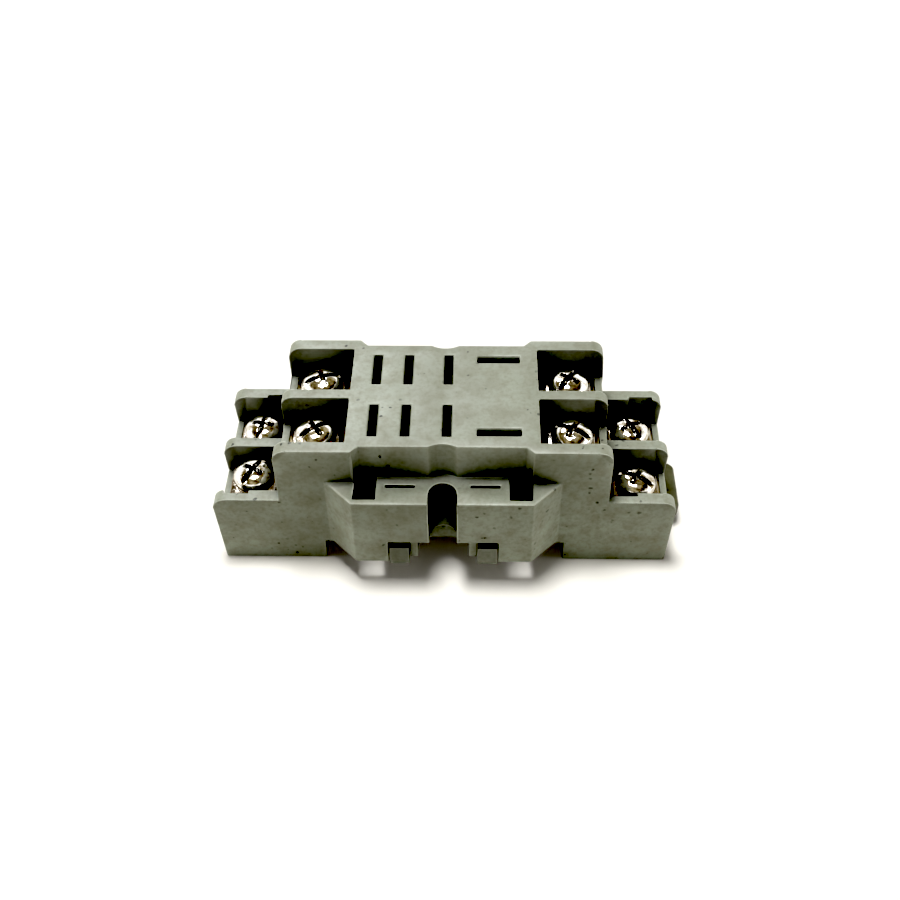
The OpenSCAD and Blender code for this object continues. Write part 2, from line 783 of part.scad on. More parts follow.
// Places its children at a terminal, with Z zero on top of the terminal strip
module at_terminal(n) {
    translate([end_sign(n) * screw_x(n), row_sign(n) * bay_y, seat_z(n) + strip_t + screw_rise(n)])
        children();
}

module clamp_washer(n) {
    end = clamp_len / 2;
    side = clamp_w / 2;
    color(steel_color)
    at_terminal(n)
        difference() {
            span([-end, -side, 0], [end, side, clamp_h]);
            span([-end - cut, -side + clamp_t, -cut], [end + cut, side - clamp_t, clamp_h - clamp_t]);
            cylinder(r = screw_d / 2 + clamp_fit, h = 3 * clamp_h, center = true);
        }
}

// One arm pair of the cross recess, narrower at its bottom
module cross_arm() {
    translate([0, cross_w / 2, head_h])
        rotate([90, 0, 0])
            linear_extrude(cross_w)
                polygon([
                    [-cross_len / 2, eps], [cross_len / 2, eps],
                    [cross_bottom_len / 2, -cross_h], [-cross_bottom_len / 2, -cross_h]
                ]);
}

module terminal_screw(n) {
    color(steel_color)
    at_terminal(n)
        translate([0, 0, clamp_h])
            rotate([0, 0, screw_turn(n)])
                difference() {
                    union() {
                        translate([0, 0, -screw_len]) cylinder(d = screw_d, h = screw_len + head_h / 2);
                        intersection() {
                            cylinder(d = head_d, h = head_h);
                            translate([0, 0, head_h - head_dome_r]) sphere(r = head_dome_r);
                        }
                    }
                    span([-head_d, -driver_slot_w / 2, head_h - driver_slot_h],
                         [head_d, driver_slot_w / 2, head_h + cut]);
                    for (turn = [0, 90]) {
                        rotate([0, 0, turn]) cross_arm();
                    }
                }
}

/* Rail latch */

// Side view of the latch: a sloped nose under the rail, the slide and the pull tab
module latch_side_view() {
    nose_low_z = hook_top_z - hook_tip_t;
    polygon([
        [channel_x - hook_reach, nose_low_z], [latch_in_x + nose_run, latch_z],
        [latch_out_x - tab_low_chamfer, latch_z], [latch_out_x, latch_z + tab_low_chamfer],
        [latch_out_x, latch_top_z - tab_top_chamfer], [latch_out_x - tab_top_chamfer, latch_top_z],
        [latch_in_x, latch_top_z], [latch_in_x, hook_top_z],
        [channel_x - hook_reach, hook_top_z]
    ]);
}

module din_latch() {
    color(latch_color)
    difference() {
        across(-latch_half, latch_half) latch_side_view();
        span([pocket_x, -pocket_w / 2, latch_z - cut], [pocket_end_x, pocket_w / 2, latch_top_z + cut]);
        // Far corners of the tab, cut off at 45 degrees
        for (side = [-1, 1]) {
            translate([latch_out_x, side * latch_half, latch_z])
                rotate([0, 0, 45])
                    cube([tab_corner_cut, tab_corner_cut, 3 * latch_top_z], center = true);
        }
    }
}

// Coil along X, drawn as a square wire
module latch_spring() {
    wire_angle = 360 * spring_wire * spring_turns / spring_len;
    r_out = spring_d / 2;
    r_in = r_out - spring_wire;
    color(steel_color)
    translate([pocket_x + spring_gap, 0, spring_z])
        rotate([0, 90, 0])
            linear_extrude(
                spring_len - 2 * spring_gap, twist = -360 * spring_turns,
                slices = 14 * spring_turns, segments = 1, $fn = 6
            )
                polygon(concat(
                    arc(0, 0, r_out, 0, wire_angle, 6),
                    arc(0, 0, r_in, wire_angle, 0, 6)
                ));
}

housing();
bottom_cover();
for (n = [1 : 8]) {
    terminal_strip(n);
    contact_clip(n);
    clamp_washer(n);
    terminal_screw(n);
}
din_latch();
latch_spring();
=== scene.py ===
"""A two-level screw-terminal relay socket: its moulded surfaces, plated screws and studio."""

import json
import math

import bmesh
import bpy
from mathutils import Matrix, Vector

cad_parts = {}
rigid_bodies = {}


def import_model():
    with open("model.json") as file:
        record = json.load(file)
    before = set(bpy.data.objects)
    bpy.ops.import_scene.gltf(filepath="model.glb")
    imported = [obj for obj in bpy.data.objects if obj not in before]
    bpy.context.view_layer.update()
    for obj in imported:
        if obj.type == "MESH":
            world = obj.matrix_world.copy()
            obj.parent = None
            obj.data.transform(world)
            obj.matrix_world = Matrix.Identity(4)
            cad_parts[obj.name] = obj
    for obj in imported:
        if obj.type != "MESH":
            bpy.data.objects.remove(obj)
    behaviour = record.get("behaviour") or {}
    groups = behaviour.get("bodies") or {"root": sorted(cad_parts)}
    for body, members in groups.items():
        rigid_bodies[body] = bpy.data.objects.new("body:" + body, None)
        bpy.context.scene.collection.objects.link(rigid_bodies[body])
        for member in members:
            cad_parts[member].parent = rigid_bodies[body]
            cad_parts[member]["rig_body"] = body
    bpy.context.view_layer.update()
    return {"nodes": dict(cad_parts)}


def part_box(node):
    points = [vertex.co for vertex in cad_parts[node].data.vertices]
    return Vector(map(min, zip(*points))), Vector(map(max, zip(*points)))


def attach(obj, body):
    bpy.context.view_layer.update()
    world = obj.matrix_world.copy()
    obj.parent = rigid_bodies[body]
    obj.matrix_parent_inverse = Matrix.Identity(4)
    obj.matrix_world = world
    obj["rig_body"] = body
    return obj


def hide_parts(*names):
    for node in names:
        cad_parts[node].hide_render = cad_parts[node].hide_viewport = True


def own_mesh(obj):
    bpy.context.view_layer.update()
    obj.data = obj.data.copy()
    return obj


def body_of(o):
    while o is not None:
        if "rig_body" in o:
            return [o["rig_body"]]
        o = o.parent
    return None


MM = 0.001

# Sizes in millimetres, as the socket is built
HEAD_H = 2.4
SHANK_R = 1.75
THREAD_PITCH = 0.6
THREAD_DEPTH = 0.25
SLOT_W = 0.9
SLOT_DEPTH = 1.0
CROSS_LEN = 3.9
CROSS_BOTTOM_LEN = 1.5
CROSS_W = 0.85
CROSS_DEPTH = 1.55
RIM_ROUND = 0.25
THREAD_LEAD = 0.3
THREAD_RIDGE_R = 0.24
EDGE_ROUND = 0.07
SPRING_TURNS = 7.0
SPRING_WIRE_R = 0.2
# Radius of the rounds that the mould or the press left on each piece's edges
HOUSING_ROUND = 0.18
COVER_ROUND = 0.12
LATCH_ROUND = 0.2
STRIP_ROUND = 0.08
CLAMP_ROUND = 0.16
# Facets round a turned piece, along a helix and across its wire
HEAD_SIDES = 72
THREAD_POINTS = 196
THREAD_SIDES = 4
SPRING_POINTS = 224
SPRING_SIDES = 10
# The camera's place in millimetres, and its field and angles in degrees
CAMERA_PLACE = (4.81, -122.51, 141.94)
CAMERA_FIELD = 42.21
CAMERA_AZIMUTH = 1.909
CAMERA_ELEVATION = 46.74
CAMERA_ROLL = -1.0
# How each screw head has come to rest, in degrees
SCREW_TURNS = {1: 35, 2: 20, 3: 62, 4: 80, 5: -28, 6: 55, 7: 150, 8: 118}


# ---------------------------------------------------------------- small helpers


def linear(hex_colour, alpha=1.0):
    """An sRGB hex colour as linear RGBA."""
    channels = [int(hex_colour[i : i + 2], 16) / 255 for i in (1, 3, 5)]
    return [c / 12.92 if c <= 0.04045 else ((c + 0.055) / 1.055) ** 2.4 for c in channels] + [alpha]


def add(tree, kind, links=None, **settings):
    """Adds a node. links maps an input's name or index to a socket, a value or a hex colour."""
    node = tree.nodes.new(kind)
    for name, value in settings.items():
        setattr(node, name, value)
    for key, value in (links or {}).items():
        if isinstance(value, bpy.types.NodeSocket):
            tree.links.new(value, node.inputs[key])
        else:
            node.inputs[key].default_value = linear(value) if isinstance(value, str) else value
    return node


def new_material(name):
    """A material with an empty tree."""
    material = bpy.data.materials.new(name)
    material.use_nodes = True
    material.node_tree.nodes.clear()
    return material, material.node_tree


# ---------------------------------------------------------------- materials


def moulded_plastic(name, base, pale, worn, stain, dust_and_shade):
    """Glass-filled polyester or nylon, injection moulded: a satin skin with a faint spark-eroded grain,
    paler where it has chalked, with brown bloom in patches, dust specks stuck to it, painted shade
    darkening its corners and bays, and pale painted edges."""
    material, tree = new_material(name)
    place = add(tree, "ShaderNodeTexCoord").outputs["Object"]
    # Chalking and bloom drift over 15 mm and 3 mm
    drift = add(tree, "ShaderNodeTexNoise", {"Vector": place, "Scale": 1 / (15 * MM), "Detail": 2.0})
    cloud = add(
        tree,
        "ShaderNodeTexNoise",
        {"Vector": place, "Scale": 1 / (3 * MM), "Detail": 5.0, "Roughness": 0.62},
    )
    chalk = add(tree, "ShaderNodeMapRange", {0: drift.outputs["Fac"], 1: 0.38, 2: 0.62})
    tone = add(tree, "ShaderNodeMix", {0: chalk.outputs[0], 6: base, 7: pale}, data_type="RGBA")
    bloom = add(tree, "ShaderNodeMapRange", {0: cloud.outputs["Fac"], 1: 0.42, 2: 0.75, 3: 0.0, 4: 0.55})
    tone = add(tree, "ShaderNodeMix", {0: bloom.outputs[0], 6: tone.outputs[2], 7: stain}, data_type="RGBA")
    # Mottling left by the flow of the glass-filled moulding, about 0.6 mm across
    fleck = add(tree, "ShaderNodeTexNoise", {"Vector": place, "Scale": 1 / (0.6 * MM), "Detail": 2.0})
    mottle = add(tree, "ShaderNodeMapRange", {0: fleck.outputs["Fac"], 1: 0.45, 2: 0.8, 3: 0.0, 4: 0.40})
    tone = add(
        tree,
        "ShaderNodeMix",
        {0: mottle.outputs[0], 6: tone.outputs[2], 7: stain},
        data_type="RGBA",
    )
    # Dust specks 0.15 to 0.4 mm across, gathered in patches
    cells = add(tree, "ShaderNodeTexVoronoi", {"Vector": place, "Scale": 1 / (1.25 * MM)})
    size = add(tree, "ShaderNodeSeparateColor", {0: cells.outputs["Color"]})
    reach = add(tree, "ShaderNodeMapRange", {0: size.outputs[0], 1: 0.3, 2: 1.0, 3: 0.0, 4: 0.24})
    gap = add(
        tree,
        "ShaderNodeMath",
        {0: reach.outputs[0], 1: cells.outputs["Distance"]},
        operation="SUBTRACT",
    )
    ragged = add(tree, "ShaderNodeMapRange", {0: fleck.outputs["Fac"], 1: 0.3, 2: 0.7, 3: -0.10, 4: 0.10})
    gap = add(tree, "ShaderNodeMath", {0: gap.outputs[0], 1: ragged.outputs[0]})
    speck = add(tree, "ShaderNodeMapRange", {0: gap.outputs[0], 1: -0.02, 2: 0.05, 3: 0.0, 4: 0.8})
    patch = add(tree, "ShaderNodeTexNoise", {"Vector": place, "Scale": 1 / (6 * MM), "Detail": 3.0})
    gathered = add(tree, "ShaderNodeMapRange", {0: patch.outputs["Fac"], 1: 0.44, 2: 0.60})
    dust = add(tree, "ShaderNodeMath", {0: speck.outputs[0], 1: gathered.outputs[0]}, operation="MULTIPLY")
    tone = add(tree, "ShaderNodeMix", {0: dust.outputs[0], 6: tone.outputs[2], 7: dust_and_shade}, data_type="RGBA")
    # Painted shade: corners and the bays are darkened to near black where the surface is enclosed within 13
    # mm
    occlusion = add(tree, "ShaderNodeAmbientOcclusion", {"Distance": 13.0 * MM}, samples=8, only_local=True)
    corner = add(tree, "ShaderNodeMapRange", {0: occlusion.outputs["AO"], 1: 0.40, 2: 0.80, 3: 0.97, 4: 0.0})
    tone = add(
        tree,
        "ShaderNodeMix",
        {0: corner.outputs[0], 6: tone.outputs[2], 7: dust_and_shade},
        data_type="RGBA",
    )
    # Open edges painted pale over about 0.3 mm: partly handling wear, partly painted highlight where
    # rounded edges catch the light
    rounded = add(tree, "ShaderNodeBevel", {"Radius": 0.35 * MM}, samples=6)
    flat = add(tree, "ShaderNodeNewGeometry")
    agree = add(
        tree,
        "ShaderNodeVectorMath",
        {0: rounded.outputs[0], 1: flat.outputs["True Normal"]},
        operation="DOT_PRODUCT",
    )
    pale_edge_mask = add(
        tree,
        "ShaderNodeMapRange",
        {0: agree.outputs["Value"], 1: 0.985, 2: 0.88, 3: 0.0, 4: 0.55},
    )
    open_edge = add(tree, "ShaderNodeMapRange", {0: occlusion.outputs["AO"], 1: 0.3, 2: 0.6})
    wear_and_highlight = add(
        tree,
        "ShaderNodeMath",
        {0: pale_edge_mask.outputs[0], 1: open_edge.outputs[0]},
        operation="MULTIPLY",
    )
    tone = add(tree, "ShaderNodeMix", {0: wear_and_highlight.outputs[0], 6: tone.outputs[2], 7: worn}, data_type="RGBA")
    sheen = add(tree, "ShaderNodeMapRange", {0: cloud.outputs["Fac"], 1: 0.3, 2: 0.7, 3: 0.40, 4: 0.58})
    # The real grain is nearer 0.05 mm and is drawn coarse enough to show
    grain = add(
        tree,
        "ShaderNodeTexNoise",
        {"Vector": place, "Scale": 1 / (0.25 * MM), "Detail": 3.0, "Roughness": 0.7},
    )
    bump = add(
        tree, "ShaderNodeBump", {"Height": grain.outputs["Fac"], "Strength": 0.25, "Distance": 0.03 * MM}
    )
    shader = add(
        tree,
        "ShaderNodeBsdfPrincipled",
        {
            "Base Color": tone.outputs[2],
            "Roughness": sheen.outputs[0],
            "Normal": bump.outputs["Normal"],
            "IOR": 1.52,
        },
    )
    add(tree, "ShaderNodeOutputMaterial", {"Surface": shader.outputs["BSDF"]})
    return material


def nickel_plated_steel(name, bright, tarnish, smooth, rough):
    """Cold-headed steel with bright nickel over copper: close to a mirror, gone brown in patches,
    and painted almost black in the recesses as shade."""
    material, tree = new_material(name)
    place = add(tree, "ShaderNodeTexCoord").outputs["Object"]
    patch = add(
        tree,
        "ShaderNodeTexNoise",
        {"Vector": place, "Scale": 1 / (1.7 * MM), "Detail": 4.0, "Roughness": 0.65},
    )
    worn = add(tree, "ShaderNodeMapRange", {0: patch.outputs["Fac"], 1: 0.46, 2: 0.66, 3: 0.0, 4: 0.85})
    tone = add(tree, "ShaderNodeMix", {0: worn.outputs[0], 6: bright, 7: tarnish}, data_type="RGBA")
    # Painted shade: the recesses are darkened to near black within about 1.1 mm
    occlusion = add(tree, "ShaderNodeAmbientOcclusion", {"Distance": 1.1 * MM}, samples=6, only_local=True)
    recess_shade = add(tree, "ShaderNodeMapRange", {0: occlusion.outputs["AO"], 1: 0.45, 2: 0.85, 3: 0.96, 4: 0.0})
    tone = add(
        tree,
        "ShaderNodeMix",
        {0: recess_shade.outputs[0], 6: tone.outputs[2], 7: "#0c0805"},
        data_type="RGBA",
    )
    scuff = add(tree, "ShaderNodeTexNoise", {"Vector": place, "Scale": 1 / (0.5 * MM), "Detail": 3.0})
    gloss = add(tree, "ShaderNodeMapRange", {0: scuff.outputs["Fac"], 1: 0.3, 2: 0.7, 3: smooth, 4: rough})
    # Ripples of the headed surface under the plating, about 1 mm apart
    ripple = add(tree, "ShaderNodeTexNoise", {"Vector": place, "Scale": 1 / (1.0 * MM), "Detail": 2.0})
    bump = add(
        tree, "ShaderNodeBump", {"Height": ripple.outputs["Fac"], "Strength": 0.5, "Distance": 0.12 * MM}
    )
    shader = add(
        tree,
        "ShaderNodeBsdfPrincipled",
        {
            "Base Color": tone.outputs[2],
            "Metallic": 1.0,
            "Roughness": gloss.outputs[0],
            "Normal": bump.outputs["Normal"],
        },
    )
    add(tree, "ShaderNodeOutputMaterial", {"Surface": shader.outputs["BSDF"]})
    return material


def rolled_brass(name, base, tarnish, roughness):
    """Rolled and stamped strip: fine rolling lines along its length and brown tarnish in patches."""
    material, tree = new_material(name)
    place = add(tree, "ShaderNodeTexCoord").outputs["Object"]
    patch = add(
        tree,
        "ShaderNodeTexNoise",
        {"Vector": place, "Scale": 1 / (2.2 * MM), "Detail": 4.0, "Roughness": 0.6},
    )
    worn = add(tree, "ShaderNodeMapRange", {0: patch.outputs["Fac"], 1: 0.4, 2: 0.7})
    tone = add(tree, "ShaderNodeMix", {0: worn.outputs[0], 6: base, 7: tarnish}, data_type="RGBA")
    # Rolling lines about 0.12 mm apart and twelve times as long
    along = add(tree, "ShaderNodeMapping", {"Vector": place, "Scale": (0.08, 1.0, 1.0)})
    lines = add(
        tree,
        "ShaderNodeTexNoise",
        {"Vector": along.outputs["Vector"], "Scale": 1 / (0.12 * MM), "Detail": 2.0},
    )
    bump = add(
        tree,
        "ShaderNodeBump",
        {"Height": lines.outputs["Fac"], "Strength": 0.2, "Distance": 0.02 * MM},
    )
    shader = add(
        tree,
        "ShaderNodeBsdfPrincipled",
        {
            "Base Color": tone.outputs[2],
            "Metallic": 1.0,
            "Roughness": roughness,
            "Normal": bump.outputs["Normal"],
        },
    )
    add(tree, "ShaderNodeOutputMaterial", {"Surface": shader.outputs["BSDF"]})
    return material


def white_paper():
    """Matt white paper with a very slow change of tone, lit evenly out to the horizon."""
    material, tree = new_material("white_paper_sweep")
    place = add(tree, "ShaderNodeTexCoord").outputs["Object"]
    slow = add(tree, "ShaderNodeTexNoise", {"Vector": place, "Scale": 1 / (60 * MM), "Detail": 2.0})
    tone = add(
        tree,
        "ShaderNodeMix",
        {0: slow.outputs["Fac"], 6: "#e2dfd8", 7: "#eae8e2"},
        data_type="RGBA",
    )
    # The lamp fades away from the middle of the sheet, and the glow makes up for it
    reach = add(tree, "ShaderNodeVectorMath", {0: place}, operation="LENGTH")
    glow = add(tree, "ShaderNodeMapRange", {0: reach.outputs["Value"], 1: 0.12, 2: 0.60, 3: 0.05, 4: 1.0})
    shader = add(
        tree,
        "ShaderNodeBsdfPrincipled",
        {
            "Base Color": tone.outputs[2],
            "Roughness": 0.9,
            "Emission Color": "#fff9f2",
            "Emission Strength": glow.outputs[0],
        },
    )
    add(tree, "ShaderNodeOutputMaterial", {"Surface": shader.outputs["BSDF"]})
    return material


# The last colour of each moulding darkens its dust specks and, as painted shade, its corners and bays
MATERIALS = {
    "housing_plastic": moulded_plastic(
        "moulded_grey_polyester", "#868a7c", "#93988a", "#c2c6b9", "#6c6957", "#0d0e09"
    ),
    "cover_plastic": moulded_plastic(
        "moulded_cover_polyester", "#6e7165", "#7d8074", "#9fa296", "#5a584a", "#12130e"
    ),
    "latch_plastic": moulded_plastic(
        "moulded_olive_nylon", "#4a4b38", "#575843", "#77785f", "#3b3828", "#0d0e09"
    ),
    "terminal_brass": rolled_brass("nickelled_brass_strip", "#a79c80", "#5f4f36", 0.3),
    "clip_bronze": rolled_brass("rolled_phosphor_bronze", "#b98a52", "#7c5530", 0.28),
    "clamp_steel": nickel_plated_steel("nickelled_clamp_steel", "#b3ada2", "#6d5a42", 0.10, 0.28),
    "screw_steel": nickel_plated_steel("nickelled_screw_steel", "#e9e7e1", "#8c7d5a", 0.05, 0.15),
    "spring_steel": nickel_plated_steel("drawn_spring_wire", "#a9a9a6", "#77706a", 0.2, 0.35),
}


# ---------------------------------------------------------------- meshes


def link_piece(name, mesh):
    """Puts a mesh in the scene as an object at the origin."""
    piece = bpy.data.objects.new(name, mesh)
    bpy.context.scene.collection.objects.link(piece)
    return piece


def finished_mesh(piece, name):
    """The piece with its modifiers applied, as a plain mesh of its own."""
    bpy.context.view_layer.update()
    evaluated = piece.evaluated_get(bpy.context.evaluated_depsgraph_get())
    mesh = bpy.data.meshes.new_from_object(evaluated)
    mesh.name = name
    return mesh


def shade_by_angle(mesh, degrees):
    """Smooth shading, broken at edges that turn by more than this."""
    mesh.shade_smooth()
    edges = bmesh.new()
    edges.from_mesh(mesh)
    for edge in edges.edges:
        if len(edge.link_faces) == 2 and edge.calc_face_angle(0) > math.radians(degrees):
            edge.smooth = False
    edges.to_mesh(mesh)
    edges.free()


def edges_with_room(shape, width, least_turn):
    """Edges that turn by least_turn degrees or more and have room for a round of this width."""
    turning = {
        e
        for e in shape.edges
        if len(e.link_faces) == 2 and e.calc_face_angle(0) > math.radians(least_turn)
    }
    roomy = set()
    for edge in turning:
        neighbours = [e for v in edge.verts for e in v.link_edges if e is not edge]
        if edge.calc_length() > 2.2 * width and all(e.calc_length() > 1.3 * width for e in neighbours):
            roomy.add(edge)
    return list(roomy)


def rounded_copy(node, width_mm, segments=2, least_turn=35):
    """A copy of a CAD node with its edges rounded off, which then stands for it."""
    body = body_of(frame["nodes"][node])[0]
    mesh = frame["nodes"][node].data.copy()
    mesh.name = node + "_finished"
    shape = bmesh.new()
    shape.from_mesh(mesh)
    bmesh.ops.remove_doubles(shape, verts=shape.verts, dist=0.002 * MM)
    bmesh.ops.bevel(
        shape,
        geom=edges_with_room(shape, width_mm * MM, least_turn),
        offset=width_mm * MM,
        offset_type="OFFSET",
        segments=segments,
        profile=0.5,
        affect="EDGES",
        clamp_overlap=False,
    )
    bmesh.ops.remove_doubles(shape, verts=shape.verts, dist=0.001 * MM)
    bmesh.ops.triangulate(shape, faces=shape.faces)
    shape.to_mesh(mesh)
    shape.free()
    shade_by_angle(mesh, 32)
    mesh.materials.clear()
    piece = link_piece(node + "_finished", mesh)
    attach(piece, body)
    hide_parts(node)
    return piece


def lathe(name, outline, sides):
    """A closed solid turned about Z from an outline of (radius, height), both ends on the axis."""
    mesh = bpy.data.meshes.new(name)
    shape = bmesh.new()
    rings = []
    for radius, height in outline:
        if radius < 1e-9:
            rings.append([shape.verts.new((0, 0, height))])
        else:
            turns = [2 * math.pi * i / sides for i in range(sides)]
            points = [(radius * math.cos(t), radius * math.sin(t), height) for t in turns]
            rings.append([shape.verts.new(point) for point in points])
    for lower, upper in zip(rings, rings[1:]):
        for i in range(sides):
            j = (i + 1) % sides
            corners = [lower[i % len(lower)], lower[j % len(lower)]]
            corners += [upper[j % len(upper)], upper[i % len(upper)]]
            shape.faces.new(list(dict.fromkeys(corners)))
    bmesh.ops.recalc_face_normals(shape, faces=shape.faces)
    shape.to_mesh(mesh)
    shape.free()
    return mesh


def slot_cutter(shape, length_top, length_bottom, width, top, bottom, turn):
    """Adds a tapered bar across the axis, between heights bottom and top."""
    corners = []
    for height, length in ((bottom, length_bottom), (top, length_top)):
        for sx, sy in ((-1, -1), (1, -1), (1, 1), (-1, 1)):
            corner = Vector((sx * length / 2, sy * width / 2, height))
            corners.append(shape.verts.new(Matrix.Rotation(turn, 4, "Z") @ corner))
    for face in ((3, 2, 1, 0), (4, 5, 6, 7), (0, 1, 5, 4), (1, 2, 6, 5), (2, 3, 7, 6), (3, 0, 4, 7)):
        shape.faces.new([corners[i] for i in face])


# ---------------------------------------------------------------- geometry nodes


def helix_tree():
    """A wire or thread ridge that follows a helix about Z."""
    tree = bpy.data.node_groups.new("helix_wire", "GeometryNodeTree")
    face = tree.interface
    face.new_socket("Turns", in_out="INPUT", socket_type="NodeSocketFloat")
    face.new_socket("Height", in_out="INPUT", socket_type="NodeSocketFloat")
    face.new_socket("Radius", in_out="INPUT", socket_type="NodeSocketFloat")
    face.new_socket("Wire Radius", in_out="INPUT", socket_type="NodeSocketFloat")
    face.new_socket("Points", in_out="INPUT", socket_type="NodeSocketInt")
    face.new_socket("Sides", in_out="INPUT", socket_type="NodeSocketInt")
    face.new_socket("Finish", in_out="INPUT", socket_type="NodeSocketMaterial")
    face.new_socket("Geometry", in_out="OUTPUT", socket_type="NodeSocketGeometry")
    given = tree.nodes.new("NodeGroupInput").outputs
    per_turn = add(tree, "ShaderNodeMath", {0: given["Points"], 1: given["Turns"]}, operation="DIVIDE")
    spiral = add(
        tree,
        "GeometryNodeCurveSpiral",
        {
            "Resolution": per_turn.outputs[0],
            "Rotations": given["Turns"],
            "Start Radius": given["Radius"],
            "End Radius": given["Radius"],
            "Height": given["Height"],
        },
    )
    section = add(
        tree,
        "GeometryNodeCurvePrimitiveCircle",
        {"Resolution": given["Sides"], "Radius": given["Wire Radius"]},
    )
    wire = add(
        tree,
        "GeometryNodeCurveToMesh",
        {"Curve": spiral.outputs["Curve"], "Profile Curve": section.outputs["Curve"], "Fill Caps": True},
    )
    smooth = add(tree, "GeometryNodeSetShadeSmooth", {"Geometry": wire.outputs["Mesh"]})
    real = add(tree, "GeometryNodeRealizeInstances", {"Geometry": smooth.outputs["Geometry"]})
    painted = add(
        tree,
        "GeometryNodeSetMaterial",
        {"Geometry": real.outputs["Geometry"], "Material": given["Finish"]},
    )
    add(tree, "NodeGroupOutput", {"Geometry": painted.outputs["Geometry"]})
    return tree


def grown_mesh(name, tree, **inputs):
    """The mesh that a geometry tree makes from the given inputs, which are named as on the tree."""
    seed = link_piece(name + "_seed", bpy.data.meshes.new(name + "_seed"))
    modifier = seed.modifiers.new("grow", "NODES")
    modifier.node_group = tree
    for item in tree.interface.items_tree:
        key = item.name.lower().replace(" ", "_")
        if item.in_out == "INPUT" and key in inputs:
            modifier[item.identifier] = inputs[key]
    mesh = finished_mesh(seed, name)
    bpy.data.objects.remove(seed)
    return mesh


# ---------------------------------------------------------------- pieces


def screw_outline(head_r, shank_len):
    """Pan head with a full dome over a rolled rim, and the core of the shank below it, in metres."""
    head_h = HEAD_H * MM
    core_r = (SHANK_R - THREAD_DEPTH) * MM
    rim_h = 0.30 * head_h
    dome_h = head_h - rim_h
    lead_in = THREAD_LEAD * MM
    outline = [(0, -shank_len), (core_r - 0.2 * MM, -shank_len), (core_r, -shank_len + lead_in)]
    outline += [(core_r, -0.02 * MM), (SHANK_R * MM, 0)]
    rim = RIM_ROUND * MM
    outline += [(head_r - rim, 0), (head_r - 0.06 * MM, 0.08 * MM), (head_r, rim), (head_r, rim_h)]
    steps = 18
    for i in range(1, steps):
        a = math.pi / 2 * i / steps
        outline.append((head_r * math.cos(a) ** 0.8, rim_h + dome_h * math.sin(a)))
    outline.append((0, head_h))
    return outline


def recess_tools(name, head_r):
    """The bars that cut the driver slot and the two arms of the cross, as objects."""
    head_h = HEAD_H * MM
    slot = (4 * head_r, 4 * head_r, SLOT_W * MM, 2 * head_h, head_h - SLOT_DEPTH * MM)
    arm_top = head_h + 0.1 * MM
    arm = (CROSS_LEN * MM, CROSS_BOTTOM_LEN * MM, CROSS_W * MM, arm_top, head_h - CROSS_DEPTH * MM)
    tools = []
    for bar, turn in ((slot, 0), (arm, 0), (arm, math.pi / 2)):
        shape = bmesh.new()
        slot_cutter(shape, *bar, turn)
        mesh = bpy.data.meshes.new(name + "_bar")
        shape.to_mesh(mesh)
        shape.free()
        tools.append(link_piece(name + "_bar", mesh))
    return tools


def terminal_screw(n, helix):
    """Pan-head screw with a combined cross and slot recess and a rolled thread."""
    node = f"terminal_screw_{n}"
    low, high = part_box(node)
    centre = (low + high) / 2
    head_r = (high.x - low.x) / 2
    shank_len = high.z - low.z - HEAD_H * MM
    name = f"screw_{n}_finished"
    turned = lathe(name + "_blank", screw_outline(head_r, shank_len), HEAD_SIDES)
    blank = link_piece(name + "_blank", turned)
    tools = recess_tools(name, head_r)
    for tool in tools:
        cut = blank.modifiers.new("cut", "BOOLEAN")
        cut.operation = "DIFFERENCE"
        cut.solver = "EXACT"
        cut.object = tool
    edge = blank.modifiers.new("edge", "BEVEL")
    edge.width = EDGE_ROUND * MM
    edge.segments = 2
    edge.limit_method = "ANGLE"
    edge.angle_limit = math.radians(40)
    mesh = finished_mesh(blank, name)
    for spare in [blank, *tools]:
        bpy.data.objects.remove(spare)
    thread_len = shank_len - 0.5 * MM
    turns = thread_len / (THREAD_PITCH * MM)
    thread = grown_mesh(
        name + "_thread",
        helix,
        turns=turns,
        height=thread_len,
        radius=(SHANK_R - 0.2) * MM,
        wire_radius=THREAD_RIDGE_R * MM,
        points=THREAD_POINTS,
        sides=THREAD_SIDES,
        finish=MATERIALS["screw_steel"],
    )
    thread.transform(Matrix.Translation((0, 0, -shank_len + THREAD_LEAD * MM)))
    joined = bmesh.new()
    joined.from_mesh(mesh)
    joined.from_mesh(thread)
    joined.to_mesh(mesh)
    joined.free()
    turn = Matrix.Rotation(math.radians(SCREW_TURNS[n]), 4, "Z")
    mesh.transform(Matrix.Translation((centre.x, centre.y, low.z + shank_len)) @ turn)
    shade_by_angle(mesh, 30)
    mesh.materials.clear()
    piece = link_piece(name, mesh)
    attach(piece, f"screw_{n}")
    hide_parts(node)
    return piece


def latch_spring(helix):
    """Coil spring between the latch and its post."""
    low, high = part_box("latch_spring")
    length = high.x - low.x
    radius = (high.z - low.z) / 2
    wire = SPRING_WIRE_R * MM
    mesh = grown_mesh(
        "latch_spring_finished",
        helix,
        turns=SPRING_TURNS,
        height=length - 2 * wire,
        radius=radius - wire,
        wire_radius=wire,
        points=SPRING_POINTS,
        sides=SPRING_SIDES,
        finish=MATERIALS["spring_steel"],
    )
    centre = (low + high) / 2
    along_x = Matrix.Rotation(math.pi / 2, 4, "Y")
    mesh.transform(Matrix.Translation((low.x + wire, centre.y, centre.z)) @ along_x)
    piece = link_piece("latch_spring_finished", mesh)
    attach(piece, "socket")
    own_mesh(piece)
    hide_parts("latch_spring")
    return piece


# ---------------------------------------------------------------- build

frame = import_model()


def dress(piece, slot_name):
    """Gives a piece the material of its slot."""
    piece.data.materials.clear()
    piece.data.materials.append(MATERIALS[slot_name])


